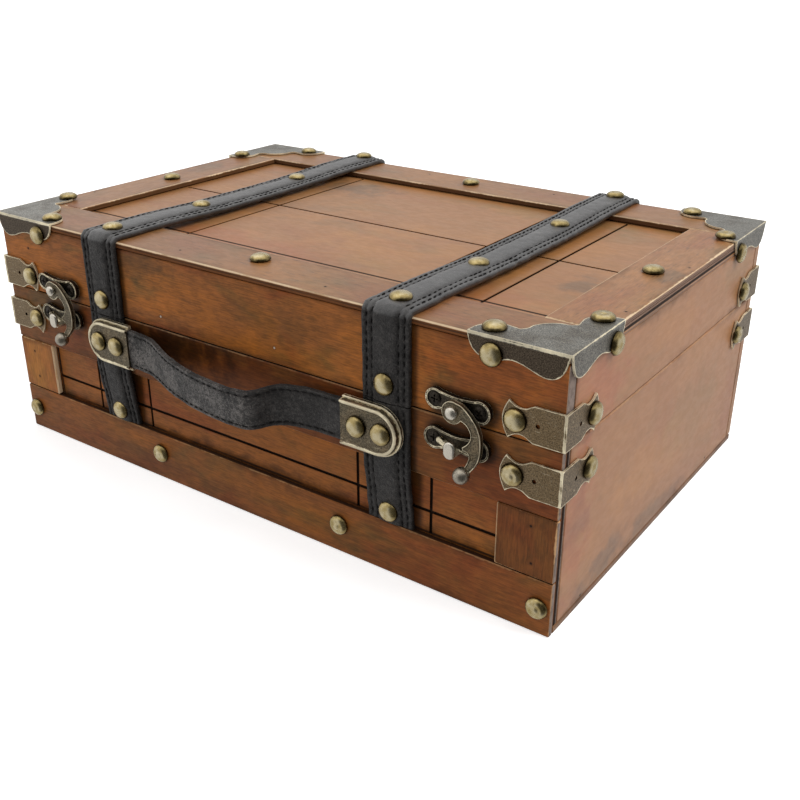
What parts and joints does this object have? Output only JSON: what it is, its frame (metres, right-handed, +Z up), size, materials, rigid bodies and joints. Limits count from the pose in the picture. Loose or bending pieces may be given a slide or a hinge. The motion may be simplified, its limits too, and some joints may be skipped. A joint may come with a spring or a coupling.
{
  "type": "suitcase box",
  "caption": "Small wooden suitcase box with a hinged lid, leather straps, a riveted leather handle, bronze corner hardware and swinging hook latches.",
  "frame": {"origin": "middle of the case's underside, halfway along its length and its depth", "axes": "+X along the case's length, to the right seen from the front; +Y from the front to the hinged back; +Z up"},
  "size_m": [0.3074, 0.2231, 0.1179],
  "materials": {
    "front_wood": "stained reddish brown, worn edges, satin",
    "side_wood": "stained pinkish brown, worn, satin",
    "top_wood": "stained light reddish brown, worn edges, satin",
    "inside_wood": "bare pale board",
    "leather": "dark padded leather, stitched edges",
    "bronze": "dark aged bronze with worn rims",
    "latch_bronze": "dark cast bronze with bright worn edges",
    "nail_brass": "aged pale brass",
    "hinge_brass": "aged brass"
  },
  "bodies": {
    "case_body": {"bottom_board": "inside_wood", "front_panel": "front_wood", "front_bottom_rail": "front_wood", "front_top_rail": "front_wood", "front_left_stile": "front_wood", "front_right_stile": "front_wood", "body_back_board": "side_wood", "body_left_board": "side_wood", "body_right_board": "side_wood", "body_left_strap": "leather", "body_right_strap": "leather", "back_left_strap": "leather", "back_right_strap": "leather", "body_brace_front_left": "bronze", "body_brace_front_right": "bronze", "body_brace_back_left": "bronze", "body_brace_back_right": "bronze", "catch_plate_left": "latch_bronze", "catch_plate_right": "latch_bronze", "handle_strap": "leather", "handle_plate_left": "bronze", "handle_plate_right": "bronze", "hinge_body_leaf_left": "hinge_brass", "hinge_body_leaf_right": "hinge_brass", "hinge_pin_left": "hinge_brass", "hinge_pin_right": "hinge_brass", "rail_nail_far_left": "nail_brass", "rail_nail_left": "nail_brass", "rail_nail_right": "nail_brass", "rail_nail_far_right": "nail_brass"},
    "lid": {"lid_front_board": "front_wood", "lid_back_board": "side_wood", "lid_left_board": "side_wood", "lid_right_board": "side_wood", "lid_top_panel": "top_wood", "top_front_strip": "top_wood", "top_back_strip": "top_wood", "top_left_strip": "top_wood", "top_right_strip": "top_wood", "lid_left_strap": "leather", "lid_right_strap": "leather", "bracket_front_left": "bronze", "bracket_front_right": "bronze", "bracket_back_left": "bronze", "bracket_back_right": "bronze", "lid_brace_front_left": "bronze", "lid_brace_front_right": "bronze", "lid_brace_back_left": "bronze", "lid_brace_back_right": "bronze", "hook_plate_left": "latch_bronze", "hook_plate_right": "latch_bronze", "hinge_lid_leaf_left": "hinge_brass", "hinge_lid_leaf_right": "hinge_brass", "top_nail_front": "nail_brass", "top_nail_back": "nail_brass", "top_nail_left": "nail_brass", "top_nail_right": "nail_brass"},
    "left_hook": {"hook_left": "latch_bronze"},
    "right_hook": {"hook_right": "latch_bronze"}
  },
  "joints": [
    {"name": "lid_hinge", "type": "hinge", "parent": "case_body", "child": "lid", "pos_m": [0, 0.1001, 0.0772], "axis": [-1, 0, 0], "range_deg": [0, 105]},
    {"name": "left_hook_swing", "type": "hinge", "parent": "lid", "child": "left_hook", "pos_m": [-0.111, -0.0975, 0.0827], "axis": [0, -1, 0], "range_deg": [-17.5, 80]},
    {"name": "right_hook_swing", "type": "hinge", "parent": "lid", "child": "right_hook", "pos_m": [0.109, -0.0975, 0.0827], "axis": [0, -1, 0], "range_deg": [-17.5, 80]}
  ]
}
